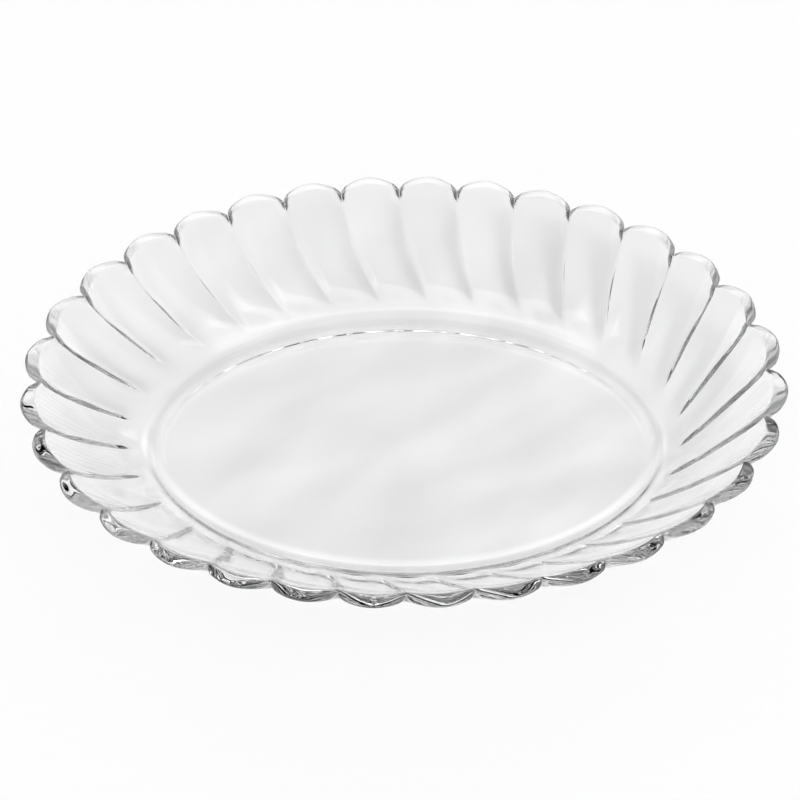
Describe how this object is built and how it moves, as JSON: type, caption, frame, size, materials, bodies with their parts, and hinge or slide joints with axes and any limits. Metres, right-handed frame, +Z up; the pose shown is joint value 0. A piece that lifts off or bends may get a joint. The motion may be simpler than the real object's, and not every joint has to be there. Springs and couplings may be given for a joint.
{
  "type": "glass platter",
  "caption": "Oval platter of clear pressed glass with a flat floor, a flared wall of swirled flutes and a scalloped rim, for serving food.",
  "frame": {"origin": "centre of the oval at the underside of the foot ring, where the platter stands", "axes": "+X along the platter's length, +Y across it, +Z up out of the dish"},
  "size_m": [0.3288, 0.2532, 0.0486],
  "materials": {
    "clear_glass": "fire-polished clear pressed glass"
  },
  "bodies": {
    "root": {"platter": "clear_glass"}
  },
  "joints": []
}
